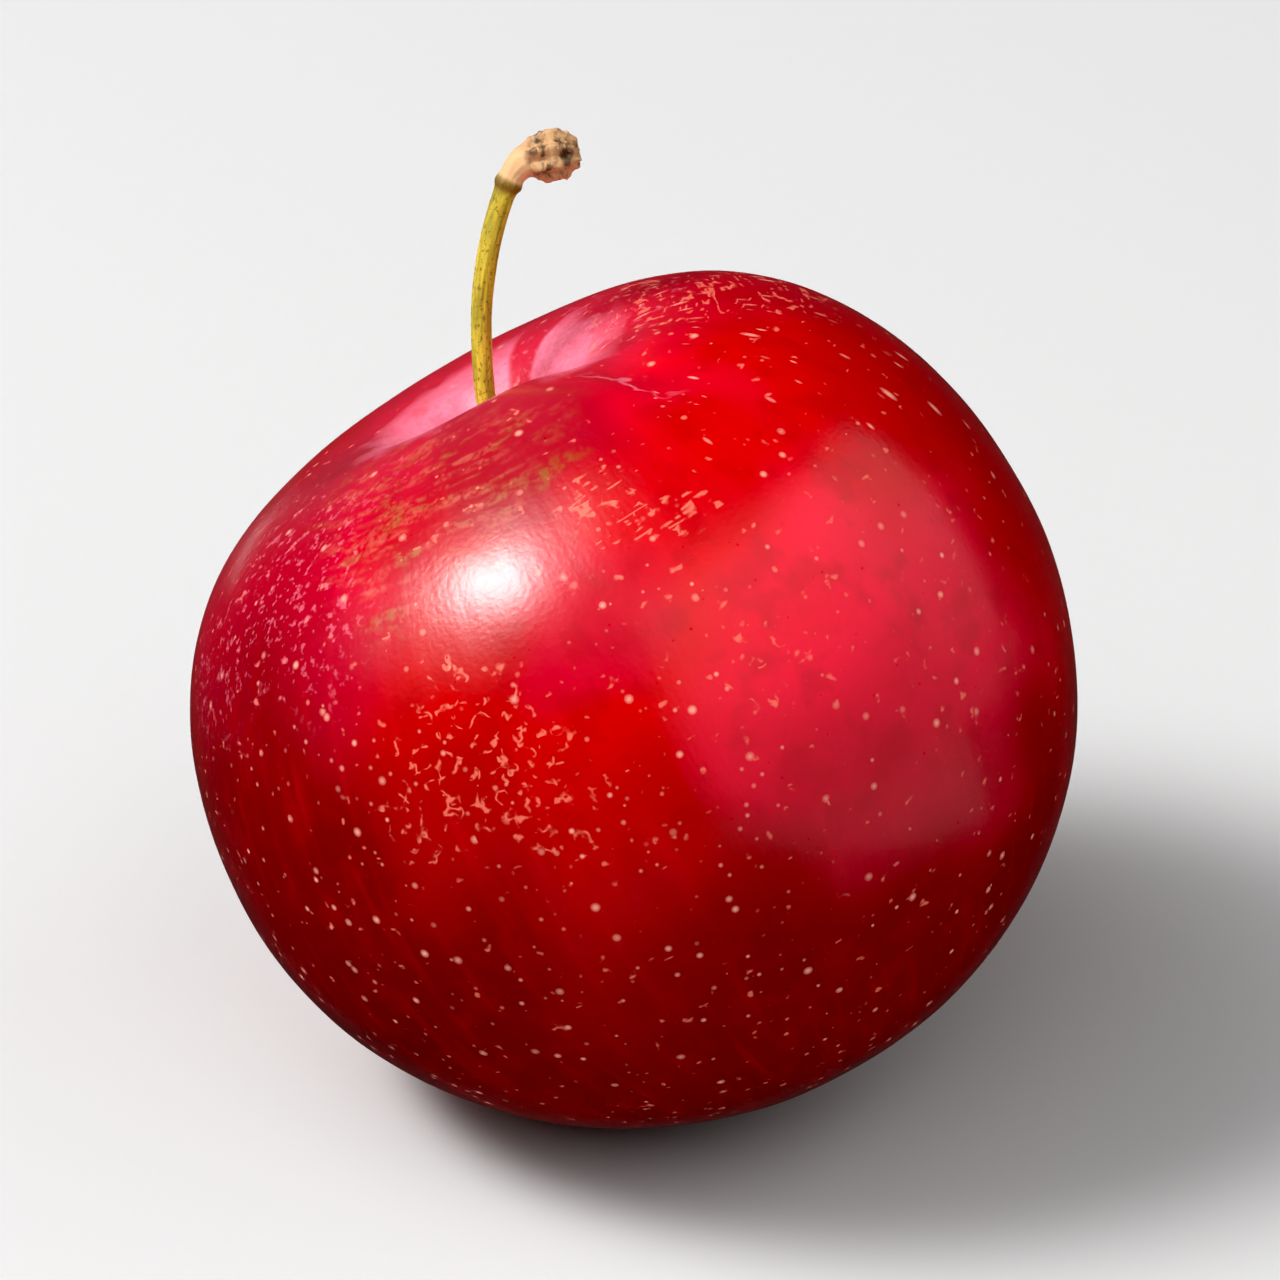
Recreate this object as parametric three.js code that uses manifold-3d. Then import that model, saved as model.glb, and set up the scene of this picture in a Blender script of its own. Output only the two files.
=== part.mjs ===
// A ripe red plum and its stalk. The plum lies on a small flat spot, with its stalk end leaning up and to
// one side. Millimetres, +Z up. The origin is the middle of the flat spot.
//
// Fruit and stalk are shaped in the plum's own frame, which has its origin in the middle of the widest
// ring and +Z along the core towards the stalk end. The last step leans that frame over and lowers it
// on to the flat spot.
import * as THREE from "three";
import { mergeVertices } from "three/addons/utils/BufferGeometryUtils.js";
import Module from "manifold-3d";

// The fruit as a turned form, before its seam and swellings.
const WAIST_RADIUS = 28.1; // at the widest ring
const BLOSSOM_END = -27.3; // height of the end away from the stalk
const CREST_HEIGHT = 22.4; // height of the shoulder round the stalk cavity
const CREST_RADIUS = 8.2; // from the core to the top of the shoulder
const CAVITY_DEPTH = 6; // from the shoulder down to the floor round the stalk
const LOWER_FULLNESS = 15.3; // how far the curve runs level from the blossom end and plumb below the waist
const SIDE_FULLNESS = 12.2; // how far it runs plumb above the waist
const SHOULDER_FULLNESS = 14; // how far it runs level outside the crest
const LIP_FULLNESS = 4.9; // how far it runs level inside the crest
const FLOOR_FULLNESS = 2.6; // how far the cavity's floor runs level from the core

// The seam: a valley over the shoulder on one side, which fades to a faint furrow down to the blossom end.
// Its places are angles from the core's stalk end, as seen from the middle of the fruit.
const SEAM_BEARING = -46; // degrees round the core
const SEAM_DEPTH = 1.2;
const SEAM_HALF_WIDTH = 2.6;
const SEAM_BEGINS = 9;
const SEAM_DEEPEST = 30;
const SEAM_FADED = 52;
const FURROW_DEPTH = 0.2;
const FURROW_ENDS = 165;

// Broad swellings and hollows: the way each one faces, its spread in degrees and its height.
const SWELLINGS = [
  { towards: [-0.97, 0.05, -0.2], spread: 24, height: 0.4 },
  { towards: [0.6, -0.2, -0.77], spread: 26, height: 0.5 },
  { towards: [-0.02, -0.29, 0.95], spread: 12, height: 1.6 },
  { towards: [0.26, -0.34, 0.9], spread: 8, height: 0.9 },
  { towards: [0.28, -0.06, 0.96], spread: 7, height: -1.4 },
  { towards: [-0.27, -0.12, 0.95], spread: 8, height: 0.5 },
  { towards: [0.5, 0.25, 0.83], spread: 16, height: 0.7 },
  { towards: [-0.22, 0.12, 0.97], spread: 14, height: -0.5 },
  { towards: [0.1, 0.97, -0.2], spread: 38, height: -0.6 },
];

// The stalk: radii along its length, as [radius, distance from its foot].
const STALK_PROFILE = [
  [0.8, 0],
  [0.74, 1.2],
  [0.66, 4],
  [0.64, 9],
  [0.66, 14],
  [0.7, 18.4],
  [0.74, 19.5],
  [0.92, 20],
  [0.84, 20.6],
  [0.9, 21.6],
  [1, 22.2],
  [1.32, 23],
  [1.44, 23.8],
  [1.3, 24.6],
  [0.75, 25.15],
];
const STALK_LENGTH = 25.3;
const KNOB_BEGINS = 22.2;
const KNOB_LUMP = 0.14; // share of the knob's radius
const KNOB_LUMPS = 5; // round the knob

// The middle line of the stalk, from its foot to its torn end: right, back and up from the middle of the
// fruit, with the plum lying as it rests.
const STALK_ROUTE = [
  [-7.1, 2.7, 13.9],
  [-8.4, 3.2, 16.4],
  [-9.4, 4.1, 19.2],
  [-9.7, 5.8, 24],
  [-9.3, 7.1, 27.9],
  [-8.4, 8.3, 31.2],
  [-7.2, 9.1, 33.3],
  [-5.2, 9.4, 33.9],
  [-3.5, 9.4, 34.1],
];
const PIT_CLEARANCE = 0.3; // left between the stalk and the pit that its foot stands in

// How the plum lies.
const LEAN_LEFT = 27.1; // degrees, towards -X
const LEAN_BACK = 9.7; // degrees, towards +Y
const TURN = 13.8; // degrees round its own core
const MIDDLE_ABOVE_REST = [0.8, 0.2, 26.85]; // from the middle of the flat spot to the middle of the fruit

const FRUIT_COLOUR = 0xa80f26;
const STALK_COLOUR = 0x93802c;

// Fineness of the meshes.
const RINGS_PER_CURVE = 16;
const FRUIT_SEGMENTS = 84;
const STALK_RINGS = 46;
const STALK_SEGMENTS = 16;

const { clamp, degToRad, smoothstep } = THREE.MathUtils;
const wasm = await Module();
wasm.setup();

// Moves every point of a geometry to where move(point) takes it.
function reshape(geometry, move) {
  const places = geometry.attributes.position;
  const point = new THREE.Vector3();
  for (let i = 0; i < places.count; i++) {
    point.fromBufferAttribute(places, i);
    move(point);
    places.setXYZ(i, point.x, point.y, point.z);
  }
  return geometry;
}

// A closed geometry as a solid that can be cut.
function solid(geometry) {
  const bare = geometry.clone();
  bare.deleteAttribute("normal");
  bare.deleteAttribute("uv");
  const merged = mergeVertices(bare, 1e-4);
  return new wasm.Manifold(
    new wasm.Mesh({
      numProp: 3,
      vertProperties: merged.attributes.position.array,
      triVerts: new Uint32Array(merged.index.array),
    }),
  );
}

function geometryOf(body) {
  const mesh = body.getMesh();
  const geometry = new THREE.BufferGeometry();
  geometry.setAttribute("position", new THREE.BufferAttribute(mesh.vertProperties, 3));
  geometry.setIndex(new THREE.BufferAttribute(mesh.triVerts, 1));
  geometry.computeVertexNormals();
  return geometry;
}

// Half of the fruit's section, from the blossom end round to the cavity's floor.
function fruitSection() {
  const floor = CREST_HEIGHT - CAVITY_DEPTH;
  const path = new THREE.Path().moveTo(0, BLOSSOM_END);
  path.bezierCurveTo(LOWER_FULLNESS, BLOSSOM_END, WAIST_RADIUS, -LOWER_FULLNESS, WAIST_RADIUS, 0);
  path.bezierCurveTo(
    WAIST_RADIUS,
    SIDE_FULLNESS,
    CREST_RADIUS + SHOULDER_FULLNESS,
    CREST_HEIGHT,
    CREST_RADIUS,
    CREST_HEIGHT,
  );
  path.bezierCurveTo(CREST_RADIUS - LIP_FULLNESS, CREST_HEIGHT, FLOOR_FULLNESS, floor, 0, floor);
  return path.getPoints(RINGS_PER_CURVE);
}

function seamDepth(point) {
  const fromStalkEnd = THREE.MathUtils.radToDeg(Math.atan2(Math.hypot(point.x, point.y), point.z));
  const bearing = degToRad(SEAM_BEARING);
  const towardsSeam = point.x * Math.cos(bearing) + point.y * Math.sin(bearing);
  const across = point.y * Math.cos(bearing) - point.x * Math.sin(bearing);
  if (towardsSeam <= 0) return 0;
  const begun = smoothstep(fromStalkEnd, SEAM_BEGINS, SEAM_DEEPEST);
  const faded = smoothstep(fromStalkEnd, SEAM_DEEPEST, SEAM_FADED);
  const ended = smoothstep(fromStalkEnd, SEAM_FADED, FURROW_ENDS);
  const depth = begun * THREE.MathUtils.lerp(SEAM_DEPTH, FURROW_DEPTH * (1 - ended), faded);
  return depth * Math.exp(-((across / SEAM_HALF_WIDTH) ** 2) * Math.LN2);
}

function swelling(point) {
  return SWELLINGS.reduce((height, { towards, spread, height: most }) => {
    const away = point.angleTo(new THREE.Vector3(...towards));
    return height + most * Math.exp(-0.5 * (away / degToRad(spread)) ** 2);
  }, 0);
}

// The plum's own frame, leaned over and set down.
function layDown(geometry) {
  const lean = new THREE.Euler(degToRad(-LEAN_BACK), degToRad(-LEAN_LEFT), degToRad(TURN), "YXZ");
  const place = new THREE.Matrix4().makeRotationFromEuler(lean);
  return geometry.applyMatrix4(place.setPosition(...MIDDLE_ABOVE_REST));
}

function makeFruitForm() {
  const form = new THREE.LatheGeometry(fruitSection(), FRUIT_SEGMENTS);
  form.rotateX(Math.PI / 2);
  reshape(form, (point) => point.setLength(point.length() + swelling(point) - seamDepth(point)));
  return layDown(form);
}

// The stalk, made thicker and longer by growth, so that one grown form can cut the pit for another.
function makeStalkForm(growth) {
  const radii = new THREE.SplineCurve(STALK_PROFILE.map(([r, s]) => new THREE.Vector2(r + growth, s)));
  const foot = new THREE.Vector2(0, -growth);
  const rim = new THREE.Vector2(STALK_PROFILE[0][0] + growth, -growth);
  const tip = new THREE.Vector2(0, STALK_LENGTH + growth);
  const form = new THREE.LatheGeometry([foot, rim, ...radii.getPoints(STALK_RINGS), tip], STALK_SEGMENTS);
  reshape(form, lumpy);
  return bendAlong(form, stalkRoute());
}

function stalkRoute() {
  const middle = new THREE.Vector3(...MIDDLE_ABOVE_REST);
  return new THREE.CatmullRomCurve3(STALK_ROUTE.map((p) => new THREE.Vector3(...p).add(middle)));
}

// Raises lumps round the knob at the end of a straight stalk that stands along Y.
function lumpy(point) {
  const knob = smoothstep(point.y, KNOB_BEGINS, KNOB_BEGINS + 1);
  const round = Math.atan2(point.z, point.x);
  const lump = 1 + KNOB_LUMP * knob * Math.cos(KNOB_LUMPS * round + 3 * Math.cos(round));
  point.set(point.x * lump, point.y, point.z * lump);
}

// Bends a form that stands along Y so that its middle line follows the route.
function bendAlong(form, route) {
  const steps = 200;
  const frames = route.computeFrenetFrames(steps);
  return reshape(form, (point) => {
    const share = clamp(point.y / STALK_LENGTH, 0, 1);
    const step = Math.round(share * steps);
    const { x, y, z } = point;
    point.copy(route.getPointAt(share));
    point.addScaledVector(frames.tangents[step], y - share * STALK_LENGTH);
    point.addScaledVector(frames.normals[step], z);
    point.addScaledVector(frames.binormals[step], x);
  });
}

// Everything below the surface that the plum lies on.
function belowRest() {
  const side = 4 * WAIST_RADIUS;
  return new THREE.BoxGeometry(side, side, side).translate(0, 0, -side / 2);
}

function named(name, geometry, colour, roughness) {
  const material = new THREE.MeshStandardMaterial({ color: colour, roughness, metalness: 0 });
  const mesh = new THREE.Mesh(geometry, material);
  mesh.name = name;
  return mesh;
}

function makeFruit() {
  const form = solid(makeFruitForm());
  const pit = solid(makeStalkForm(PIT_CLEARANCE));
  return named("fruit", geometryOf(form.subtract(pit).subtract(solid(belowRest()))), FRUIT_COLOUR, 0.28);
}

function makeStalk() {
  return named("stalk", geometryOf(solid(makeStalkForm(0))), STALK_COLOUR, 0.6);
}

const plum = new THREE.Group();
plum.add(makeFruit(), makeStalk());
export default plum;
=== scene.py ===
import math

import bmesh
import bpy
from mathutils import Matrix, Vector, noise
from mathutils.geometry import interpolate_bezier


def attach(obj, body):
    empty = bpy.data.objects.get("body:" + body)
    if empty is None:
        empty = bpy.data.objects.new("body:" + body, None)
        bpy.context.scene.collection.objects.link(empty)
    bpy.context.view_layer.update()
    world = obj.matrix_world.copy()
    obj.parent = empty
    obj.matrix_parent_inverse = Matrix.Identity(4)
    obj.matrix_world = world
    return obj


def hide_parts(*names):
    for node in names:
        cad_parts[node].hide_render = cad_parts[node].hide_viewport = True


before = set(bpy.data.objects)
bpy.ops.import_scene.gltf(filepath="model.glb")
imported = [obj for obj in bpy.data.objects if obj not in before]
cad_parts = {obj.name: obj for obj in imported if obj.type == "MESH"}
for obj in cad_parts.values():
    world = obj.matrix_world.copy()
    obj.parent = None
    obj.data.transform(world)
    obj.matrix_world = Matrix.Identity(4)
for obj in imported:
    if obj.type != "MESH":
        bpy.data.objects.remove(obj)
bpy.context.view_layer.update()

# A ripe red plum and its stalk, shaped in millimetres in the plum's own frame: the origin in the middle
# of the widest ring, +Z along the core towards the stalk end. The plum is then leaned over, set down on
# its flat spot and brought to metres.
MM = 0.001

# The fruit as a turned form, before its seam and swellings.
WAIST_RADIUS = 28.1  # at the widest ring
BLOSSOM_END = -27.3  # height of the end away from the stalk
CREST_HEIGHT = 22.4  # height of the shoulder round the stalk cavity
CREST_RADIUS = 8.2  # from the core to the top of the shoulder
CAVITY_DEPTH = 6.0  # from the shoulder down to the floor round the stalk
LOWER_FULLNESS = 15.3  # how far the curve runs level from the blossom end and plumb below the waist
SIDE_FULLNESS = 12.2  # how far it runs plumb above the waist
SHOULDER_FULLNESS = 14.0  # how far it runs level outside the crest
LIP_FULLNESS = 4.9  # how far it runs level inside the crest
FLOOR_FULLNESS = 2.6  # how far the cavity's floor runs level from the core
LOWER_RINGS = 96
SIDE_RINGS = 84
CAVITY_RINGS = 44
FRUIT_STEPS = 256  # round the core

# The seam: a valley over the shoulder, which fades to a faint furrow down to the blossom end. Its places
# are angles from the core's stalk end, as seen from the middle of the fruit.
SEAM_BEARING = -46.0  # degrees round the core
SEAM_DEPTH = 1.2
SEAM_HALF_WIDTH = 2.6
SEAM_BEGINS = 9.0
SEAM_DEEPEST = 30.0
SEAM_FADED = 52.0
FURROW_DEPTH = 0.2
FURROW_ENDS = 165.0

# Broad swellings and hollows: the way each one faces, its spread in degrees and its height.
SWELLINGS = [
    ((-0.97, 0.05, -0.2), 24, 0.4),
    ((0.6, -0.2, -0.77), 26, 0.5),
    ((-0.02, -0.29, 0.95), 12, 1.6),
    ((0.26, -0.34, 0.9), 8, 0.9),
    ((0.28, -0.06, 0.96), 7, -1.4),
    ((-0.27, -0.12, 0.95), 8, 0.5),
    ((0.5, 0.25, 0.83), 16, 0.7),
    ((-0.22, 0.12, 0.97), 14, -0.5),
    ((0.1, 0.97, -0.2), 38, -0.6),
]

# Small unevenness of the skin: the size of each wave and its height.
SKIN_WAVES = [(9.0, 0.09), (4.0, 0.035)]
FOLDS = 17  # fine folds that run out from the stalk's foot
FOLD_HEIGHT = 0.05
FOLD_FROM_CORE = 3.2
FOLD_REACH = FOLD_FROM_CORE / 3
FOLD_SWAY = 2.0  # radians that the folds crowd up and open out
FOLD_SWAYS = 3  # round the core
BLOSSOM_DIMPLE_DEPTH = 0.45
BLOSSOM_DIMPLE_RADIUS = 2.2
BLOSSOM_SCAR_HEIGHT = 0.35
BLOSSOM_SCAR_RADIUS = 0.45

# The stalk: radii along its length, as (radius, distance from its foot).
STALK_PROFILE = [
    (0.8, 0),
    (0.74, 1.2),
    (0.66, 4),
    (0.64, 9),
    (0.66, 14),
    (0.7, 18.4),
    (0.74, 19.5),
    (0.92, 20),
    (0.84, 20.6),
    (0.94, 21.2),
    (1.14, 21.9),
    (1.42, 22.8),
    (1.5, 23.7),
    (1.3, 24.6),
    (0.75, 25.15),
]
STALK_LENGTH = 25.3
STALK_RINGS = 400
STALK_STEPS = 56
KNOB_BEGINS = 21.6
KNOB_LUMP = 0.14  # share of the knob's radius
KNOB_LUMPS = 5  # round the knob
KNOB_SWAY = 3.0  # radians that the lumps crowd up and open out
KNOB_ROUGHNESS = 0.2
CRUMPLES_PER_MM = 1.7
RIB_HEIGHT = 0.07
RIBS_ROUND = 3.8  # how fast the ribs change round the stalk
RIB_LENGTH = 4.5
TORN_DEPTH = 0.4
TORN_LENGTH = 1.2  # of the stalk's end that is torn
FIBRES_PER_MM = 3.1
FIBRE_LAYER = 5  # the height in the noise from which the torn fibres are taken

# The middle line of the stalk, from its foot to its torn end: right, back and up from the middle of the
# fruit, with the plum lying as it rests.
STALK_ROUTE = [
    (-7.1, 2.7, 13.9),
    (-8.4, 3.2, 16.4),
    (-9.4, 4.1, 19.2),
    (-9.7, 5.8, 24),
    (-9.3, 7.1, 27.9),
    (-8.4, 8.3, 31.2),
    (-7.2, 9.1, 33.3),
    (-5.2, 9.4, 33.9),
    (-3.5, 9.4, 34.1),
]
ROUTE_STEPS = 400

# How the plum lies.
LEAN_LEFT = 27.1  # degrees, towards -X
LEAN_BACK = 9.7  # degrees, towards +Y
TURN = 13.8  # degrees round its own core
MIDDLE_ABOVE_REST = Vector((0.8, 0.2, 26.85))  # from the middle of the flat spot to the fruit's middle

LEAN = (
    Matrix.Rotation(math.radians(-LEAN_LEFT), 4, "Y")
    @ Matrix.Rotation(math.radians(-LEAN_BACK), 4, "X")
    @ Matrix.Rotation(math.radians(TURN), 4, "Z")
)
LYING = Matrix.Translation(MIDDLE_ABOVE_REST) @ LEAN

# The camera looks down on the plum.
LOOK_DOWN = 30.0  # degrees below level
LENS = 200.0
CAMERA_DISTANCE = 0.455
AIM_RIGHT = 0.3  # from the fruit's middle, in millimetres, across the view
AIM_UP = 3.6  # and up the view


def smoothstep(value, low, high):
    share = min(max((value - low) / (high - low), 0), 1)
    return share * share * (3 - 2 * share)


def bell(value, spread):
    return math.exp(-0.5 * (value / spread) ** 2)


# ---------------------------------------------------------------- shapes


def make_piece(name, shape, body, node, material):
    """Makes a closed bmesh in millimetres, already in its place, into a piece of the plum in metres."""
    bmesh.ops.transform(shape, matrix=Matrix.Scale(MM, 4), verts=shape.verts)
    bmesh.ops.recalc_face_normals(shape, faces=shape.faces)
    for face in shape.faces:
        face.smooth = True
    mesh = bpy.data.meshes.new(name)
    shape.to_mesh(mesh)
    shape.free()
    mesh.materials.append(material)
    piece = bpy.data.objects.new(name, mesh)
    bpy.context.scene.collection.objects.link(piece)
    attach(piece, body)
    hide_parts(node)
    return piece


def turned(outline, steps):
    """A closed turned form: an outline of (radius, height) points, spun round the Z axis."""
    shape = bmesh.new()
    ends = [shape.verts.new((radius, 0, height)) for radius, height in outline]
    for start, end in zip(ends, ends[1:]):
        shape.edges.new((start, end))
    bmesh.ops.spin(
        shape,
        geom=shape.verts[:] + shape.edges[:],
        cent=(0, 0, 0),
        axis=(0, 0, 1),
        angle=math.tau,
        steps=steps,
        use_merge=True,
    )
    bmesh.ops.remove_doubles(shape, verts=shape.verts, dist=0.0005)
    return shape


def fruit_section():
    """Half of the fruit's section, from the blossom end round to the cavity's floor."""
    floor = CREST_HEIGHT - CAVITY_DEPTH
    bottom = [(0, BLOSSOM_END), (LOWER_FULLNESS, BLOSSOM_END), (WAIST_RADIUS, -LOWER_FULLNESS)]
    side = [(WAIST_RADIUS, 0), (WAIST_RADIUS, SIDE_FULLNESS)]
    side.append((CREST_RADIUS + SHOULDER_FULLNESS, CREST_HEIGHT))
    cavity = [(CREST_RADIUS, CREST_HEIGHT), (CREST_RADIUS - LIP_FULLNESS, CREST_HEIGHT)]
    cavity.append((FLOOR_FULLNESS, floor))
    outline = [(0, BLOSSOM_END)]
    for curve, end, rings in (
        (bottom, side[0], LOWER_RINGS),
        (side, cavity[0], SIDE_RINGS),
        (cavity, (0, floor), CAVITY_RINGS),
    ):
        knots = [Vector((radius, 0, height)) for radius, height in (*curve, end)]
        outline += [(max(point.x, 0), point.z) for point in interpolate_bezier(*knots, rings + 1)[1:]]
    return outline


def seam_depth(point):
    from_stalk_end = math.degrees(math.atan2(math.hypot(point.x, point.y), point.z))
    bearing = math.radians(SEAM_BEARING)
    towards_seam = point.x * math.cos(bearing) + point.y * math.sin(bearing)
    across = point.y * math.cos(bearing) - point.x * math.sin(bearing)
    if towards_seam <= 0:
        return 0
    begun = smoothstep(from_stalk_end, SEAM_BEGINS, SEAM_DEEPEST)
    faded = smoothstep(from_stalk_end, SEAM_DEEPEST, SEAM_FADED)
    ended = smoothstep(from_stalk_end, SEAM_FADED, FURROW_ENDS)
    depth = begun * ((1 - faded) * SEAM_DEPTH + faded * FURROW_DEPTH * (1 - ended))
    return depth * math.exp(-((across / SEAM_HALF_WIDTH) ** 2) * math.log(2))


def swelling(point):
    return sum(
        height * bell(math.degrees(point.angle(Vector(towards))), spread)
        for towards, spread, height in SWELLINGS
    )


def skin_unevenness(point):
    waves = sum(height * noise.noise(point / size) for size, height in SKIN_WAVES)
    from_core = math.hypot(point.x, point.y)
    bearing = math.atan2(point.y, point.x)
    if point.z > 0:
        fold = math.cos(FOLDS * bearing + FOLD_SWAY * math.sin(FOLD_SWAYS * bearing))
        return waves + FOLD_HEIGHT * fold * bell(from_core - FOLD_FROM_CORE, FOLD_REACH)
    dimple = BLOSSOM_DIMPLE_DEPTH * bell(from_core, BLOSSOM_DIMPLE_RADIUS)
    scar = BLOSSOM_SCAR_HEIGHT * bell(from_core, BLOSSOM_SCAR_RADIUS)
    return waves + scar - dimple


def make_fruit(material):
    shape = turned(fruit_section(), FRUIT_STEPS)
    for vertex in shape.verts:
        point = vertex.co
        growth = swelling(point) - seam_depth(point) + skin_unevenness(point)
        vertex.co = point * (1 + growth / point.length)
    bmesh.ops.transform(shape, matrix=LYING, verts=shape.verts)
    for vertex in shape.verts:
        vertex.co.z = max(vertex.co.z, 0)
    return make_piece("plum_fruit", shape, "root", "fruit", material)


def through(points, share):
    """The point at a share of the way along a smooth curve through the points."""
    spans = len(points) - 1
    span = min(int(share * spans), spans - 1)
    t = share * spans - span
    before, start, end, after = (points[min(max(span + i, 0), spans)] for i in (-1, 0, 1, 2))
    leave, arrive = (end - before) / 2, (after - start) / 2
    return (
        start * (2 * t**3 - 3 * t**2 + 1)
        + leave * (t**3 - 2 * t**2 + t)
        + arrive * (t**3 - t**2)
        + end * (3 * t**2 - 2 * t**3)
    )


def stalk_stations():
    """Equal steps along the stalk's middle line: each place and the directions along and across it."""
    line = [Vector(point) + MIDDLE_ABOVE_REST for point in STALK_ROUTE]
    fine = [through(line, i / ROUTE_STEPS) for i in range(ROUTE_STEPS + 1)]
    lengths = [0.0]
    for start, end in zip(fine, fine[1:]):
        lengths.append(lengths[-1] + (end - start).length)
    places = []
    span = 0
    for i in range(ROUTE_STEPS + 1):
        wanted = lengths[-1] * i / ROUTE_STEPS
        while span < ROUTE_STEPS - 1 and lengths[span + 1] < wanted:
            span += 1
        share = (wanted - lengths[span]) / (lengths[span + 1] - lengths[span])
        places.append(fine[span].lerp(fine[span + 1], share))
    stations = []
    across = Vector((0, 1, 0))
    for i, place in enumerate(places):
        ahead = places[min(i + 1, ROUTE_STEPS)] - places[max(i - 1, 0)]
        ahead.normalize()
        across = (across - ahead * across.dot(ahead)).normalized()
        stations.append((place, ahead, across, ahead.cross(across)))
    return stations


def stalk_relief(point):
    """Lumps, ribs and the torn end, on the straight stalk."""
    bearing = math.atan2(point.y, point.x)
    knob = smoothstep(point.z, KNOB_BEGINS, KNOB_BEGINS + 1)
    lump = 1 + KNOB_LUMP * knob * math.cos(KNOB_LUMPS * bearing + KNOB_SWAY * math.cos(bearing))
    out = Vector((math.cos(bearing), math.sin(bearing), 0))
    round_and_along = Vector((out.x * RIBS_ROUND, out.y * RIBS_ROUND, point.z / RIB_LENGTH))
    rib = RIB_HEIGHT * noise.noise(round_and_along) * (1 - knob)
    crumple = KNOB_ROUGHNESS * knob * noise.fractal(point * CRUMPLES_PER_MM, 1.0, 2.0, 3)
    torn = TORN_DEPTH * smoothstep(point.z, STALK_LENGTH - TORN_LENGTH, STALK_LENGTH)
    fibres = torn * noise.noise(Vector((point.x * FIBRES_PER_MM, point.y * FIBRES_PER_MM, FIBRE_LAYER)))
    return Vector((point.x * lump, point.y * lump, point.z + fibres)) + out * (rib + crumple)


def make_stalk(material):
    radii = [Vector(station) for station in STALK_PROFILE]
    outline = [(0, 0)]
    outline += [tuple(through(radii, i / STALK_RINGS)) for i in range(STALK_RINGS + 1)]
    outline.append((0, STALK_LENGTH))
    shape = turned(outline, STALK_STEPS)
    straight = shape.verts.layers.float_vector.new("straight")
    stations = stalk_stations()
    for vertex in shape.verts:
        vertex[straight] = vertex.co
        point = stalk_relief(vertex.co)
        share = min(max(point.z / STALK_LENGTH, 0), 1)
        place, ahead, across, aside = stations[round(share * ROUTE_STEPS)]
        on_line = place + ahead * (point.z - round(share * ROUTE_STEPS) / ROUTE_STEPS * STALK_LENGTH)
        vertex.co = on_line + across * point.y + aside * point.x
    return make_piece("plum_stalk", shape, "root", "stalk", material)


# ---------------------------------------------------------------- finishes


def shade(red, green, blue):
    """A colour as a painter reads it off a card, 0 to 255, for the shader."""
    return tuple(
        (c / 255 / 12.92 if c <= 10 else ((c / 255 + 0.055) / 1.055) ** 2.4) for c in (red, green, blue)
    ) + (1,)


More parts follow.
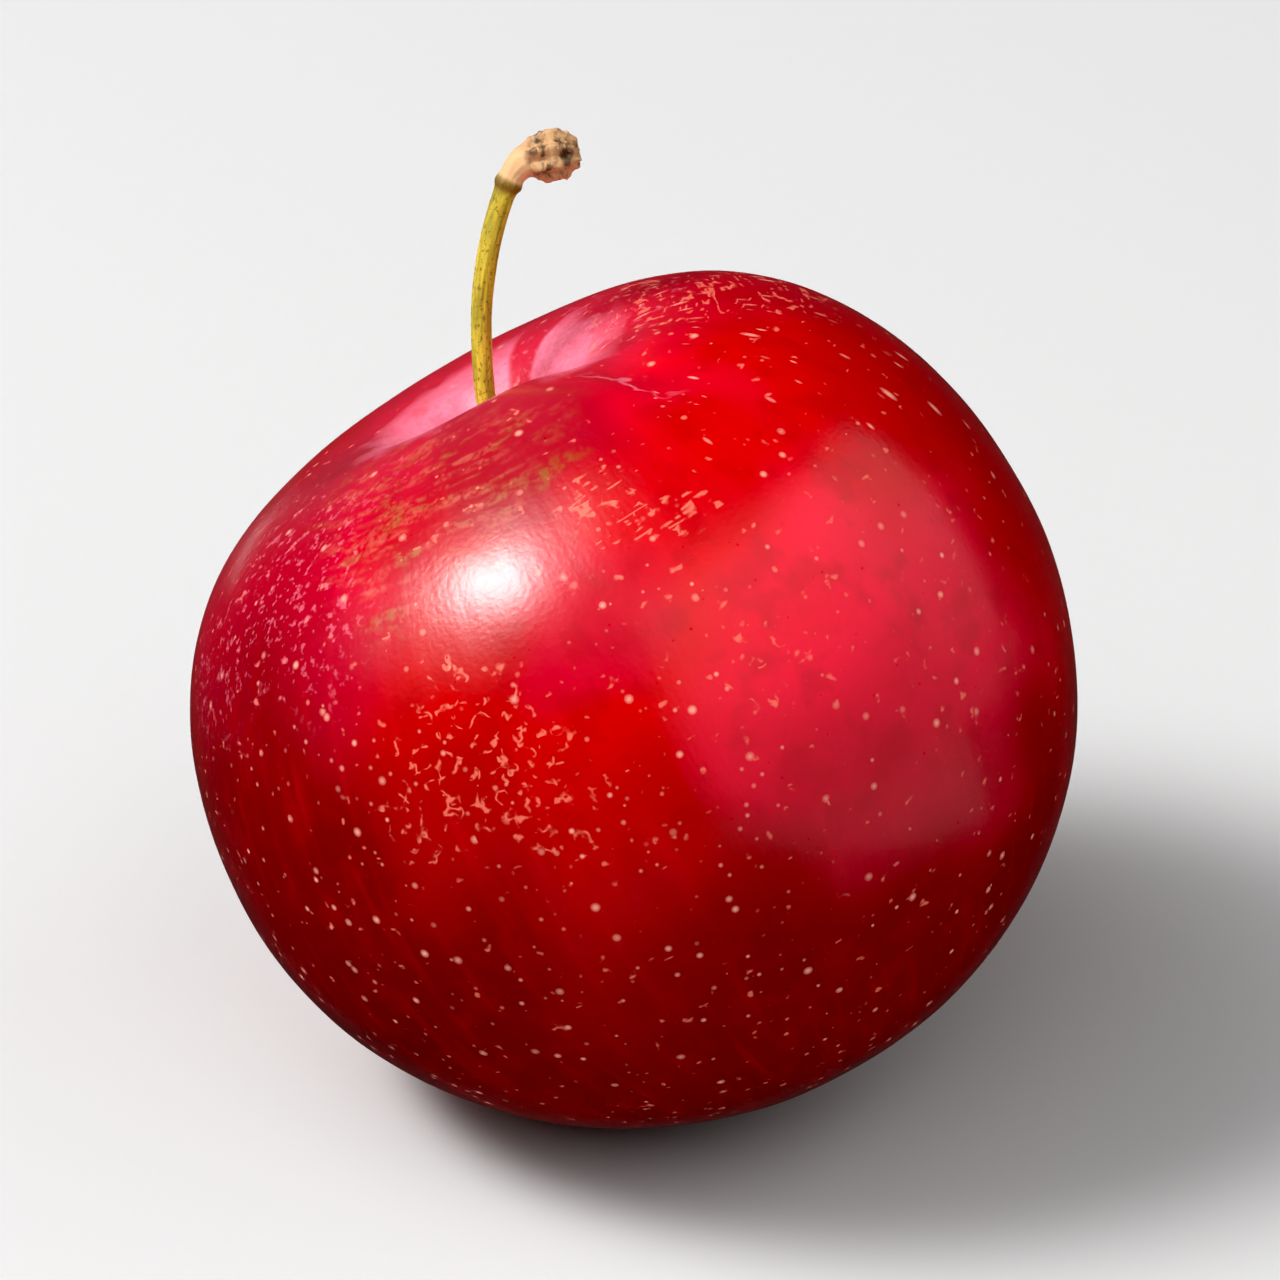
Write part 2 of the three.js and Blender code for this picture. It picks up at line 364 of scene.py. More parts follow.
class Finish:
    """A material whose patterns are worked out step by step in nodes."""

    MIX_FACTOR, MIX_FIRST, MIX_SECOND, MIX_RESULT = 0, 6, 7, 2

    def __init__(self, name, **constants):
        self.material = bpy.data.materials.new(name)
        self.material.use_nodes = True
        self.tree = self.material.node_tree
        self.shader = self.tree.nodes["Principled BSDF"]
        for socket, value in constants.items():
            self.shader.inputs[socket.replace("_", " ")].default_value = value

    def node(self, kind, inputs, **settings):
        node = self.tree.nodes.new("ShaderNode" + kind)
        for setting, value in settings.items():
            setattr(node, setting, value)
        for socket, value in inputs.items():
            if isinstance(value, bpy.types.NodeSocket):
                self.tree.links.new(value, node.inputs[socket])
            else:
                node.inputs[socket].default_value = value
        return node

    def drive(self, socket, value):
        self.tree.links.new(value, self.shader.inputs[socket])

    def math(self, operation, *values):
        return self.node("Math", dict(enumerate(values)), operation=operation).outputs[0]

    def chain(self, operation, values):
        result = values[0]
        for value in values[1:]:
            result = self.math(operation, result, value)
        return result

    def add(self, *values):
        return self.chain("ADD", values)

    def times(self, *values):
        return self.chain("MULTIPLY", values)

    def most(self, *values):
        return self.chain("MAXIMUM", values)

    def vector(self, operation, *values):
        return self.node("VectorMath", dict(enumerate(values)), operation=operation).outputs["Vector"]

    def dot(self, one, other):
        return self.node("VectorMath", {0: one, 1: other}, operation="DOT_PRODUCT").outputs["Value"]

    def scaled(self, vector, factor):
        return self.node("VectorMath", {0: vector, "Scale": factor}, operation="SCALE").outputs["Vector"]

    def ramp(self, value, low, high, least=0.0, most=1.0):
        """Smoothly from least to most as the value goes from low to high."""
        inputs = {"Value": value, "From Min": low, "From Max": high, "To Min": least, "To Max": most}
        return self.node("MapRange", inputs, interpolation_type="SMOOTHSTEP").outputs["Result"]

    def mix(self, factor, first, second):
        inputs = {self.MIX_FACTOR: factor, self.MIX_FIRST: first, self.MIX_SECOND: second}
        return self.node("Mix", inputs, data_type="RGBA").outputs[self.MIX_RESULT]

    def noise(self, place, size, detail=2.0, roughness=0.5, output="Factor"):
        inputs = {"Vector": place, "Scale": 1 / size, "Detail": detail, "Roughness": roughness}
        return self.node("TexNoise", inputs).outputs[0 if output == "Factor" else 1]

    def cells(self, place, size, feature="F1"):
        return self.node("TexVoronoi", {"Vector": place, "Scale": 1 / size}, feature=feature).outputs

    def split(self, vector):
        return self.node("SeparateXYZ", {0: vector}).outputs

    def join(self, x, y, z):
        return self.node("CombineXYZ", {0: x, 1: y, 2: z}).outputs[0]

    def distance(self, x, y):
        return self.math("POWER", self.add(self.times(x, x), self.times(y, y)), 0.5)

    def moved(self, place, colours, reach):
        """The place, moved about by a noise's colours, so that what is drawn there has uneven edges."""
        offset = self.vector("SUBTRACT", colours, (0.5, 0.5, 0.5))
        return self.vector("ADD", place, self.scaled(offset, reach))

    def patch(self, facing, towards, core, edge):
        """1 where the surface lies within core degrees of a direction, and 0 beyond edge degrees."""
        middle = tuple(Vector(towards).normalized())
        nearness = self.dot(facing, middle)
        return self.ramp(nearness, math.cos(math.radians(edge)), math.cos(math.radians(core)))

    def dots(self, cells, size, radii, share, channel=1):
        """Round specks with a bright middle. A share of the cells, which are of a size, holds one speck
        each, of its own radius, between the two given, and its own strength."""
        distance, draws = cells[0:2]
        draw = self.split(draws)
        radius = self.ramp(draw[0], 0.0, 1.0, radii[0] / size, radii[1] / size)
        edge = self.ramp(distance, radius, self.times(radius, 0.6), 0.0, 0.5)
        middle = self.ramp(distance, self.times(radius, 0.8), self.times(radius, 0.3))
        present = self.math("LESS_THAN", draw[channel], share)
        strength = self.ramp(draw[3 - channel], 0.0, 1.0, 0.55, 1.0)
        return self.times(self.most(edge, middle), present, strength)

    def raise_surface(self, height, *sockets):
        """Shades a relief, given in millimetres, through each of the shader's sockets."""
        bump = self.node("Bump", {"Strength": 1.0, "Distance": MM, "Height": height})
        for socket in sockets:
            self.drive(socket, bump.outputs[0])


def own_frame(finish):
    """Places on the plum in its own frame, in millimetres, wherever it lies."""
    inputs = {
        "Vector": finish.node("TexCoord", {}).outputs["Object"],
        "Location": tuple(MIDDLE_ABOVE_REST * MM),
        "Rotation": tuple(LEAN.to_euler("XYZ")),
        "Scale": (MM, MM, MM),
    }
    return finish.node("Mapping", inputs, vector_type="TEXTURE").outputs[0]


# Directions on the fruit, from its middle, in its own frame.
STALK_END = (0, 0, 1)
SHADED_BLOSSOM_SIDE = (0.12, -0.42, -0.9)
FAR_SHOULDER = (0.92, -0.1, 0.38)
BRIGHT_SHOULDER = (0.66, -0.5, 0.56)
PLAIN_SHOULDER = (0.33, -0.69, 0.64)
RIGHT_SHOULDER = (0.76, -0.3, 0.58)
LEFT_SHOULDER = (-0.6, -0.3, 0.74)
SHADED_LEFT_CHEEK = (-0.9, -0.42, -0.01)
RIGHT_CHEEK = (0.56, -0.83, 0.0)
ROSY_FRONT = (-0.04, -0.87, 0.49)
SPECKLED_CHEEK = (-0.55, -0.8, -0.2)
MARKED_CHEEK = (-0.36, -0.88, 0.31)
MARKED_FRONT = (0.17, -0.77, 0.61)
MARKED_RIGHT = (0.3, -0.92, 0.2)
CREST = (0.58, 0.06, 0.81)
NEAR_RIM = (-0.02, -0.56, 0.83)
LEFT_RIM = (-0.62, 0.0, 0.78)
RIGHT_RIM = (0.3, -0.56, 0.77)
RUSSETED_RIM = (-0.22, -0.52, 0.82)
OLIVE_SPOT = (0.11, -0.64, 0.76)
CAVITY_FAR_EDGE = (0.34, 0.1, 0.93)

SKIN_RED = shade(188, 2, 4)
SKIN_SCARLET = shade(214, 2, 14)
SKIN_CRIMSON = shade(188, 3, 44)
SKIN_ROSE = shade(232, 3, 48)
RIM_CRIMSON = shade(146, 4, 26)
SKIN_DEEP = shade(150, 0, 8)
# A dark red used as painted shade: on the left cheek, and partly on the blossom side.
PAINTED_SHADE_RED = shade(102, 0, 5)
SPECK_PALE = shade(250, 160, 140)
MARK_PINK = shade(246, 122, 98)
RUSSET_TAN = shade(198, 98, 76)
RUSSET_OLIVE = shade(134, 92, 24)
CAVITY_BLOOM = shade(240, 122, 148)
STALK_FOOT_BROWN = shade(120, 62, 30)
PIT_DARK = shade(52, 8, 12)

# Areas of the skin: the way each one faces, the degrees from there within which it is full and beyond
# which it is gone, and its strength. The tints of the ground lie over each other in this order.
GROUND_TINTS = [
    (SKIN_SCARLET, [(BRIGHT_SHOULDER, 12, 60, 1.0)]),
    (
        SKIN_CRIMSON,
        [
            (LEFT_SHOULDER, 10, 34, 0.9),
            (STALK_END, 18, 36, 0.72),
            (CREST, 6, 26, 0.54),
            (RIGHT_RIM, 6, 26, 0.54),
            (ROSY_FRONT, 2, 15, 0.63),
        ],
    ),
    (SKIN_RED, [(PLAIN_SHOULDER, 3, 18, 0.75)]),
    (SKIN_ROSE, [(RIGHT_CHEEK, 13, 34, 1.0)]),
    (RIM_CRIMSON, [(NEAR_RIM, 5, 20, 0.8), (LEFT_RIM, 12, 34, 0.6)]),
    # Painted shade: the left cheek is darkened as if fruit beside it shaded it.
    (PAINTED_SHADE_RED, [(SHADED_LEFT_CHEEK, 16, 54, 0.9)]),
    # Darker towards the blossom end: partly deeper skin, partly painted shade on the underside.
    (PAINTED_SHADE_RED, [(SHADED_BLOSSOM_SIDE, 25, 80, 0.85)]),
    (SKIN_DEEP, [(FAR_SHOULDER, 10, 46, 0.7)]),
]
SPECKLED = [(SPECKLED_CHEEK, 15, 85, 1.0)]
LONG_SPECKLED = [(RIGHT_SHOULDER, 8, 32, 1.0), (CREST, 8, 24, 1.0)]
MARKED = [(MARKED_CHEEK, 3, 17, 1.0), (MARKED_FRONT, 2, 9, 0.8), (MARKED_RIGHT, 2, 12, 0.5)]
SCRATCHED = [(CREST, 6, 20, 1.0), (MARKED_FRONT, 2, 10, 1.0)]
RUSSETED = [(RUSSETED_RIM, 5, 22, 1.0)]
OLIVE = [(OLIVE_SPOT, 0, 4, 1.0)]
FLECKED = [(LEFT_SHOULDER, 6, 24, 1.0), (CAVITY_FAR_EDGE, 4, 18, 1.0)]

# Sizes of the skin's patterns.
DRIFT_SIZE = 7.0
DRIFT_REACH = 9.0  # how far the edges of areas wander, out of line and back
MOTTLE_SIZE = 2.6
CROOKED_SIZE = 0.8
CROOKED_REACH = 1.4
GRAIN_SIZE = 0.35
GRAIN_HEIGHT = 0.012
STREAK_WIDTH = 0.9
STREAK_LENGTH = 10.0
STREAK_HEIGHT = 0.02
SIDE_RADIUS = 22.0  # of the ring that patterns down the side are drawn on
MARK_CELL = 1.3
SCRATCH_WIDTH = 4.5  # round the core
SCRATCH_LENGTH = 0.85  # down the side

# Specks: the cells that hold one at most, the least and largest radius, and the share of cells with one.
FINE_CELL = 1.0
FINE_RADII = (0.08, 0.2)
FINE_SHARE = 0.12
FINE_SHARE_MORE = 0.25  # on the speckled cheek
LARGE_CELL = 1.55
LARGE_RADII = (0.16, 0.36)
LARGE_SHARE = 0.4
LARGE_SHARE_MORE = 0.45  # on the speckled cheek
LONG_CELL = 1.1
LONG_RADII = (0.12, 0.3)
LONG_SHARE = 0.9
LONG_SPECK_WIDTH = 1.0
LONG_SPECK_LENGTH = 2.6
PIT_RADII = (0.05, 0.1)
PIT_SHARE = 0.015
PORE_RADII = (0.07, 0.15)
PORE_SHARE = 0.8

# What lies in and near the stalk cavity, mostly in distances from the core. A pair goes from where a
# thing is not there yet to where it is full.
BLOOM = (10.2, 5.6)
HAZE = (18.0, 8.0)
HAZE_STRENGTH = 0.07
BARE_FOLD_TOWARDS = (0.64, 0.77, 0.0)
BARE_FOLD_WIDTH = (0.972, 0.996)  # cosines of the angle from that direction
BARE_FOLD_BEGINS = (3.0, 4.5)
# The pale line: partly bloom, partly a painted highlight on the edge of the seam.
PALE_LINE_BEARING = math.radians(-52)
PALE_LINE_WANDERS = 0.08  # radians
PALE_LINE_WIDTH = (0.035, 0.005)  # radians to each side
PALE_LINE_BEGINS = (10.5, 12.5)
PALE_LINE_ENDS = (18.5, 15.5)
STALK_FOOT = (2.4, 0.9)


class SkinPlaces:
    """Where a point on the skin is, and the noises that the skin's patterns share, as nodes."""

    def __init__(self, finish):
        self.finish = finish
        self.place = own_frame(finish)
        drift = finish.noise(self.place, DRIFT_SIZE, detail=0.0, output="Color")
        _, self.drift, _ = finish.split(drift)
        self.facing = finish.vector("NORMALIZE", finish.moved(self.place, drift, DRIFT_REACH))
        mottling = finish.noise(self.place, MOTTLE_SIZE, output="Color")
        self.mottle, self.cloud, self.smear = finish.split(mottling)
        crooked = finish.noise(self.place, CROOKED_SIZE, detail=1.0, output="Color")
        _, self.broken, self.grainy = finish.split(crooked)
        self.crooked_place = finish.moved(self.place, crooked, CROOKED_REACH)
        self.grain = finish.noise(self.place, GRAIN_SIZE, detail=1.0)
        self.x, self.y, self.z = finish.split(self.place)
        self.ring = finish.vector("NORMALIZE", finish.join(self.x, self.y, 0.0))
        self.from_core = finish.distance(self.x, self.y)
        self.upper = finish.math("GREATER_THAN", self.z, 0.0)
        self.streak = finish.noise(self.down_the_side(STREAK_WIDTH, STREAK_LENGTH), 1.0)

    def down_the_side(self, width, length):
        """Places whose patterns run from the stalk end to the blossom end, width and length apart."""
        finish = self.finish
        ring_x, ring_y, _ = finish.split(self.ring)
        reach = SIDE_RADIUS / width
        run = finish.times(finish.math("ARCTAN2", self.from_core, self.z), WAIST_RADIUS / length)
        return finish.join(finish.times(ring_x, reach), finish.times(ring_y, reach), run)

    def areas(self, areas):
        """How far a point belongs to any of some areas, 0 to their strength."""
        finish = self.finish
        patches = []
        for towards, full, gone, strength in areas:
            patches.append(finish.times(finish.patch(self.facing, towards, full, gone), strength))
        return finish.most(*patches)


def ground_colour(finish, at):
    colour = finish.mix(finish.ramp(at.drift, 0.3, 0.8, 0.0, 0.45), SKIN_RED, SKIN_DEEP)
    for tint, areas in GROUND_TINTS:
        colour = finish.mix(at.areas(areas), colour, tint)
    colour = finish.mix(finish.ramp(at.mottle, 0.45, 0.7, 0.0, 0.32), colour, SKIN_DEEP)
    return finish.mix(finish.ramp(at.streak, 0.5, 0.8, 0.0, 0.14), colour, SKIN_SCARLET)


def cavity_bloom(finish, at):
    """The pale bloom left in the stalk cavity, ragged at its edge and rubbed off along one fold."""
    lopsided = finish.ramp(at.x, 2.0, 6.0, 0.5, -1.2)
    ragged = finish.add(lopsided, finish.ramp(at.cloud, 0.3, 0.7, -1.0, 1.0))
    along_fold = finish.ramp(finish.dot(at.ring, BARE_FOLD_TOWARDS), *BARE_FOLD_WIDTH)
    fold = finish.times(along_fold, finish.ramp(at.from_core, *BARE_FOLD_BEGINS))
    return finish.times(
        finish.ramp(finish.add(at.from_core, ragged), *BLOOM),
        at.upper,
        finish.ramp(fold, 1.0, 0.0, 0.1),
        finish.ramp(at.cloud, 0.3, 0.6, 0.65, 1.0),
        finish.ramp(at.grain, 0.3, 0.6, 0.8, 1.0),
    )


def pale_line_bloom_and_highlight(finish, at):
    """A thin crooked line that runs out from the cavity over the shoulder: partly pale bloom, partly a
    painted highlight on the seam's edge.
    """
    wander = finish.ramp(at.smear, 0.3, 0.7, -PALE_LINE_WANDERS, PALE_LINE_WANDERS)
    bearing = finish.add(finish.math("ARCTAN2", at.y, at.x), wander)
    aside = finish.math("ABSOLUTE", finish.math("SUBTRACT", bearing, PALE_LINE_BEARING))
    return finish.times(
        finish.ramp(aside, *PALE_LINE_WIDTH),
        finish.ramp(at.from_core, *PALE_LINE_BEGINS),
        finish.ramp(at.from_core, *PALE_LINE_ENDS),
        finish.ramp(at.mottle, 0.35, 0.55, 0.2, 1.0),
        at.upper,
    )


def pale_specks(finish, at, fine_cells):
    """Fine specks all over, larger ones most on the left cheek, and long ones on the far shoulders."""
    cheek = at.areas(SPECKLED)
    share = finish.add(FINE_SHARE, finish.times(cheek, FINE_SHARE_MORE))
    fine = finish.dots(fine_cells, FINE_CELL, FINE_RADII, share)
    share = finish.add(LARGE_SHARE, finish.times(cheek, LARGE_SHARE_MORE))
    large = finish.dots(finish.cells(at.place, LARGE_CELL), LARGE_CELL, LARGE_RADII, share)
    share = finish.times(at.areas(LONG_SPECKLED), LONG_SHARE)
    long_cells = finish.cells(at.down_the_side(LONG_SPECK_WIDTH, LONG_SPECK_LENGTH), LONG_CELL)
    long = finish.dots(long_cells, LONG_CELL, LONG_RADII, share)
    return finish.most(finish.times(fine, 0.7), large, long)


def corky_marks(finish, at, bend):
    """Thin marks: crooked ones that stand alone, and scratches that run round the core."""
    present = finish.ramp(finish.add(at.broken, finish.times(at.areas(MARKED), 0.17)), 0.68, 0.8)
    wall = finish.cells(at.crooked_place, MARK_CELL, "DISTANCE_TO_EDGE")[0]
    half_width = finish.ramp(at.broken, 0.5, 0.7, 0.07, 0.13)
    marks = finish.times(finish.ramp(wall, half_width, 0.02), present)
    present = finish.ramp(finish.add(at.broken, finish.times(at.areas(SCRATCHED), 0.2)), 0.66, 0.76)
    off_line = finish.math("ABSOLUTE", finish.math("SUBTRACT", bend, 0.5))
    return finish.most(marks, finish.times(finish.ramp(off_line, 0.06, 0.01), present))


def skin():
    finish = Finish("plum_skin", IOR=1.42, Coat_Roughness=0.12, Coat_IOR=1.42)
    at = SkinPlaces(finish)

    bloom = cavity_bloom(finish, at)
    haze = finish.times(finish.ramp(at.from_core, *HAZE), at.upper, HAZE_STRENGTH)
    stalk_foot = finish.times(finish.ramp(at.from_core, *STALK_FOOT), at.upper)

    fine_cells = finish.cells(at.place, FINE_CELL)
    specks = pale_specks(finish, at, fine_cells)
    pits = finish.dots(fine_cells, FINE_CELL, PIT_RADII, PIT_SHARE, channel=2)
    pores = finish.dots(fine_cells, FINE_CELL, PORE_RADII, PORE_SHARE, channel=2)

    bend = finish.noise(at.down_the_side(SCRATCH_WIDTH, SCRATCH_LENGTH), 1.0, detail=1.0)
    marks = corky_marks(finish, at, bend)
    speckle = finish.ramp(finish.add(at.grainy, at.grain), 0.75, 1.25)
    russet = finish.times(at.areas(RUSSETED), finish.ramp(bend, 0.4, 0.62), speckle)
    spot = finish.times(at.areas(OLIVE), speckle)
    olive = finish.most(finish.times(russet, finish.ramp(at.mottle, 0.48, 0.62)), spot)
    flecks = finish.times(at.areas(FLECKED), finish.ramp(finish.add(at.broken, at.grain), 1.1, 1.3))

    colour = ground_colour(finish, at)
    for strength, tint in (
        (finish.most(bloom, haze), CAVITY_BLOOM),
        # Pale line: partly bloom, partly a painted highlight along the seam.
        (finish.times(pale_line_bloom_and_highlight(finish, at), 0.5), CAVITY_BLOOM),
        (finish.times(stalk_foot, 0.75), STALK_FOOT_BROWN),
        (finish.times(russet, 0.45), RUSSET_TAN),
        (finish.times(olive, 0.6), RUSSET_OLIVE),
        (finish.times(flecks, 0.4), CAVITY_BLOOM),
        (finish.times(marks, 0.58), MARK_PINK),
        (finish.times(specks, 0.85), SPECK_PALE),
        (finish.times(pits, 0.8), PIT_DARK),
    ):
        colour = finish.mix(strength, colour, tint)
    finish.drive("Base Color", colour)

    corky = finish.most(finish.times(specks, 0.7), marks, finish.times(russet, 0.5))
    roughness = finish.add(
        finish.ramp(at.smear, 0.3, 0.7, 0.285, 0.325),
        finish.ramp(at.streak, 0.4, 0.75, 0.0, 0.02),
        finish.times(corky, 0.25),
        finish.times(bloom, 0.2),
    )
    finish.drive("Roughness", roughness)
    finish.drive("Specular IOR Level", finish.ramp(pores, 0.0, 1.0, 0.5, 0.05))
    finish.drive("Coat Weight", finish.ramp(pores, 0.0, 1.0, 0.3, 0.0))
    relief = finish.add(finish.times(at.grain, GRAIN_HEIGHT), finish.times(at.streak, STREAK_HEIGHT))
    finish.raise_surface(relief, "Normal", "Coat Normal")
    return finish.material


STALK_YELLOW = shade(214, 184, 56)
STALK_GREEN = shade(160, 146, 38)
STALK_BROWN = shade(104, 70, 24)
STALK_TAN = shade(214, 168, 120)
KNOB_TAN = shade(196, 150, 104)
KNOB_DARK = shade(78, 54, 36)

# The stalk's patterns: how fast each one changes round the stalk, and its length along it.
RIB_PATTERN = (2.2, 3.0)
PATCH_PATTERN = (1.0, 3.5)
SPECK_PATTERN = (3.6, 0.28)
CRUMB_SIZE = 0.9
CRUMB_WANDER_SIZE = 0.8
CRUMB_REACH = 0.6
RIB_RELIEF = 0.05
SPECK_RELIEF = 0.03
CRUMB_RELIEF = 0.2

# Distances along the stalk between which a colour comes in or goes.
RING_MARK_BEGINS = (19.2, 19.8)
RING_MARK_ENDS = (20.5, 20.1)
TAN_BEGINS = (19.9, 20.6)
KNOB_COLOUR_BEGINS = (KNOB_BEGINS, KNOB_BEGINS + 0.8)


def stalk_finish():
    finish = Finish("plum_stalk", IOR=1.45)
    straight = finish.node("Attribute", {}, attribute_name="straight").outputs["Vector"]
    x, y, along = finish.split(straight)
    ring = finish.vector("NORMALIZE", finish.join(x, y, 0.0))
    ring_x, ring_y, _ = finish.split(ring)

    def lengthwise(round_stalk, length):
        run = finish.times(along, 1 / length)
        return finish.join(finish.times(ring_x, round_stalk), finish.times(ring_y, round_stalk), run)

    ribs = finish.noise(lengthwise(*RIB_PATTERN), 1.0, detail=3.0)
    patches = finish.noise(lengthwise(*PATCH_PATTERN), 1.0, detail=3.0)
    specks = finish.noise(lengthwise(*SPECK_PATTERN), 1.0, roughness=0.65)
    wander = finish.noise(straight, CRUMB_WANDER_SIZE, output="Color")
    crumb_place = finish.moved(straight, wander, CRUMB_REACH)
    crumb = finish.noise(crumb_place, CRUMB_SIZE, detail=4.0, roughness=0.65)
    colour = finish.mix(finish.ramp(patches, 0.35, 0.65), STALK_YELLOW, STALK_GREEN)
    colour = finish.mix(finish.ramp(ribs, 0.45, 0.75, 0.0, 0.5), colour, STALK_BROWN)
    colour = finish.mix(finish.ramp(specks, 0.54, 0.66, 0.0, 0.75), colour, STALK_BROWN)
    colour = finish.mix(finish.ramp(along, *TAN_BEGINS), colour, STALK_TAN)
    ring_mark = finish.times(finish.ramp(along, *RING_MARK_BEGINS), finish.ramp(along, *RING_MARK_ENDS))
    colour = finish.mix(finish.times(ring_mark, 0.8), colour, STALK_BROWN)
    woody = finish.mix(finish.ramp(crumb, 0.44, 0.64), KNOB_TAN, KNOB_DARK)
    woody = finish.mix(finish.ramp(ribs, 0.5, 0.7, 0.0, 0.5), woody, STALK_BROWN)
    knob = finish.ramp(along, *KNOB_COLOUR_BEGINS)
    finish.drive("Base Color", finish.mix(knob, colour, woody))
    finish.drive("Roughness", finish.ramp(specks, 0.3, 0.7, 0.48, 0.7))
    relief = finish.add(
        finish.times(ribs, RIB_RELIEF),
        finish.times(specks, SPECK_RELIEF),
        finish.times(crumb, knob, CRUMB_RELIEF),
    )
    finish.raise_surface(relief, "Normal")
    return finish.material


# ---------------------------------------------------------------- studio

# Lengths here are metres and powers are watts.
LIGHT_DISTANCE = 1.5  # from the plum to the lights that face it

# The main light and the paler rings round it: towards it from the plum, its width and height, its power.
KEY_PARTS = [
    ((-0.62, -0.13, 0.775), 0.98, 0.66, 73.0),
    ((-0.58, -0.12, 0.8), 1.5, 1.15, 23.0),
    ((-0.75, -0.13, 0.66), 2.2, 1.8, 10.0),
    ((-0.42, 0.06, 0.9), 1.3, 1.1, 5.5),
]
FILL_TOWARDS = (-0.1, -0.55, 0.83)
FILL_WIDTH = 1.2
FILL_POWER = 6.0

# A pale wall that faces the plum from the front right.
WALL_TOWARDS = Vector((0.78, -0.48, 0.4))
WALL_PLACE = (1.087, -0.418, 1.123)
WALL_SIZE = (3.8, 2.4)
WALL_POWER = 32.2

# How a light weakens across its face, whose corners are (0, 0) and (1, 1): a place, the distances from
# it at which the light is weakest and at its full strength, and the weakest share.
ROUND_FADE = ((0.5, 0.5, 0), 0.5, 0.0, 0.0)
WALL_FADES = [
    ((0.5, -1.0, 0), 1.0, 1.67, 0.3),
    ((-4.0, 0.5, 0), 4.0, 4.22, 0.0),
    ((0.5, 5.0, 0), 4.0, 4.3, 0.0),
]

# Low lights on the floor, which stand in for what a pale table throws up: place, size and power.
CARDS = {
    "right_card": ((0.219, -0.163, 0.001), (0.282, 0.315), 0.095),
    "far_card": ((0.73, -0.45, 0.001), (0.74, 1.3), 1.1),
    "back_card": ((-0.083, 0.15, 0.001), (0.03, 0.06), 0.0045),
}
UPWARDS = (0, 0.001, 1)  # a hair towards the back, so that a light that faces up isn't turned about

FLOOR_RADIUS = 4.0
FLOOR_SIDES = 96
FLOOR_COLOUR = shade(202, 202, 202)
FLOOR_ENDS = (0.3, 1.0)  # from the plum to where the floor starts to turn into the backdrop, and has
BLACK = shade(0, 0, 0)
WHITE = shade(255, 255, 255)
SURROUNDINGS = 0.04  # the strength of the backdrop as the plum sees it
BACKDROP = 0.85  # and as the camera sees it
BLACK_LEVEL = 0.013


def add_light(name, place, facing, size, power, shape="DISK"):
    light = bpy.data.lights.new(name, "AREA")
    light.shape = shape
    light.size, light.size_y = size
    light.energy = power
    lamp = bpy.data.objects.new(name, light)
    lamp.location = place
    lamp.rotation_mode = "QUATERNION"
    lamp.rotation_quaternion = Vector(facing).to_track_quat("-Z", "Y")
    lamp.visible_camera = False
    bpy.context.scene.collection.objects.link(lamp)
    return lamp


def light_plum(name, towards, size, power):
    """A soft light on the side of the plum that towards points to, which it faces."""
    away = Vector(towards).normalized()
    return add_light(name, away * LIGHT_DISTANCE + MIDDLE_ABOVE_REST * MM, -away, size, power, "ELLIPSE")


def weaken(lamp, *fades):
    """Weaken a light across its face by one fade after another."""
    light = lamp.data
    light.use_nodes = True
    tree = light.node_tree
    place = tree.nodes.new("ShaderNodeNewGeometry").outputs["Parametric"]
    strength = None
    for middle, weak, full, least in fades:
        distance = tree.nodes.new("ShaderNodeVectorMath")
        distance.operation = "DISTANCE"
        distance.inputs[1].default_value = middle
        tree.links.new(place, distance.inputs[0])
        fade = tree.nodes.new("ShaderNodeMapRange")
        fade.interpolation_type = "SMOOTHSTEP"
        fade.inputs["From Min"].default_value = weak
        fade.inputs["From Max"].default_value = full
        fade.inputs["To Min"].default_value = least
        tree.links.new(distance.outputs["Value"], fade.inputs["Value"])
        if strength:
            tree.links.new(strength, fade.inputs["To Max"])
        strength = fade.outputs["Result"]
    tree.links.new(strength, tree.nodes["Emission"].inputs["Strength"])


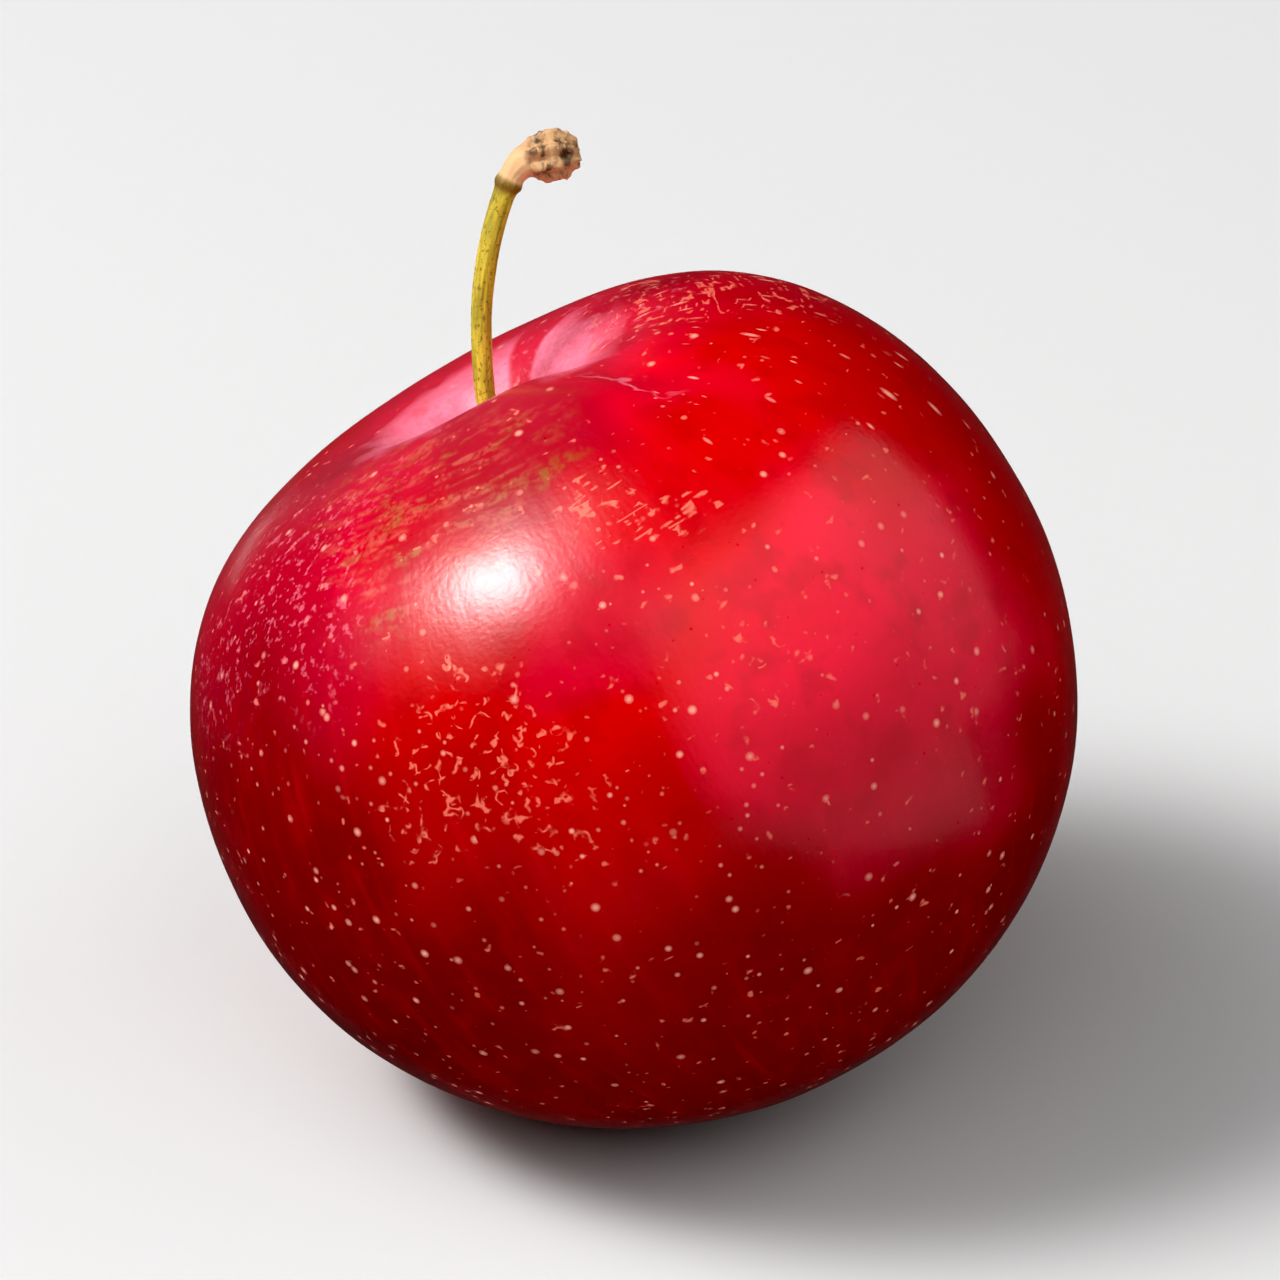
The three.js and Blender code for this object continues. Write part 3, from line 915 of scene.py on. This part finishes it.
def make_floor():
    disc = bmesh.new()
    bmesh.ops.create_circle(disc, cap_ends=True, segments=FLOOR_SIDES, radius=FLOOR_RADIUS)
    mesh = bpy.data.meshes.new("studio_floor")
    disc.to_mesh(mesh)
    disc.free()
    floor = bpy.data.objects.new("studio_floor", mesh)
    bpy.context.scene.collection.objects.link(floor)
    finish = Finish("studio_floor", Roughness=0.7, Emission_Color=WHITE)
    x, y, _ = finish.split(finish.node("TexCoord", {}).outputs["Object"])
    backdrop = finish.ramp(finish.distance(x, y), *FLOOR_ENDS)
    finish.drive("Base Color", finish.mix(backdrop, FLOOR_COLOUR, BLACK))
    finish.drive("Emission Strength", finish.times(backdrop, BACKDROP))
    mesh.materials.append(finish.material)
    floor.visible_glossy = False


def make_world():
    world = bpy.data.worlds.new("studio")
    bpy.context.scene.world = world
    world.use_nodes = True
    tree = world.node_tree
    background = tree.nodes["Background"]
    seen = tree.nodes.new("ShaderNodeLightPath").outputs["Is Camera Ray"]
    strength = tree.nodes.new("ShaderNodeMapRange")
    strength.inputs["To Min"].default_value = SURROUNDINGS
    strength.inputs["To Max"].default_value = BACKDROP
    tree.links.new(seen, strength.inputs["Value"])
    tree.links.new(strength.outputs["Result"], background.inputs["Strength"])
    background.inputs["Color"].default_value = WHITE


def make_camera():
    down = math.radians(LOOK_DOWN)
    ahead = Vector((0, math.cos(down), -math.sin(down)))
    up = Vector((0, math.sin(down), math.cos(down)))
    aim = (MIDDLE_ABOVE_REST + up * AIM_UP + Vector((AIM_RIGHT, 0, 0))) * MM
    camera = bpy.data.objects.new("camera", bpy.data.cameras.new("camera"))
    camera.data.lens = LENS
    camera.data.clip_start = 0.01
    camera.location = aim - ahead * CAMERA_DISTANCE
    camera.rotation_mode = "QUATERNION"
    camera.rotation_quaternion = ahead.to_track_quat("-Z", "Y")
    bpy.context.scene.collection.objects.link(camera)
    bpy.context.scene.camera = camera


def make_lights():
    for towards, across, up, power in KEY_PARTS:
        weaken(light_plum("key", towards, (across, up), power), ROUND_FADE)
    fill = light_plum("fill", FILL_TOWARDS, (FILL_WIDTH, FILL_WIDTH), FILL_POWER)
    fill.visible_glossy = False
    wall = add_light("right_wall", WALL_PLACE, -WALL_TOWARDS, WALL_SIZE, WALL_POWER, "RECTANGLE")
    weaken(wall, *WALL_FADES)
    for name, (place, size, power) in CARDS.items():
        add_light(name, place, UPWARDS, size, power, "RECTANGLE")


def set_view():
    view = bpy.context.scene.view_settings
    view.view_transform = "Standard"
    view.use_curve_mapping = True
    view.curve_mapping.black_level = (BLACK_LEVEL,) * 3
    view.curve_mapping.update()


make_fruit(skin())
make_stalk(stalk_finish())

make_floor()
make_world()
make_lights()
make_camera()
set_view()
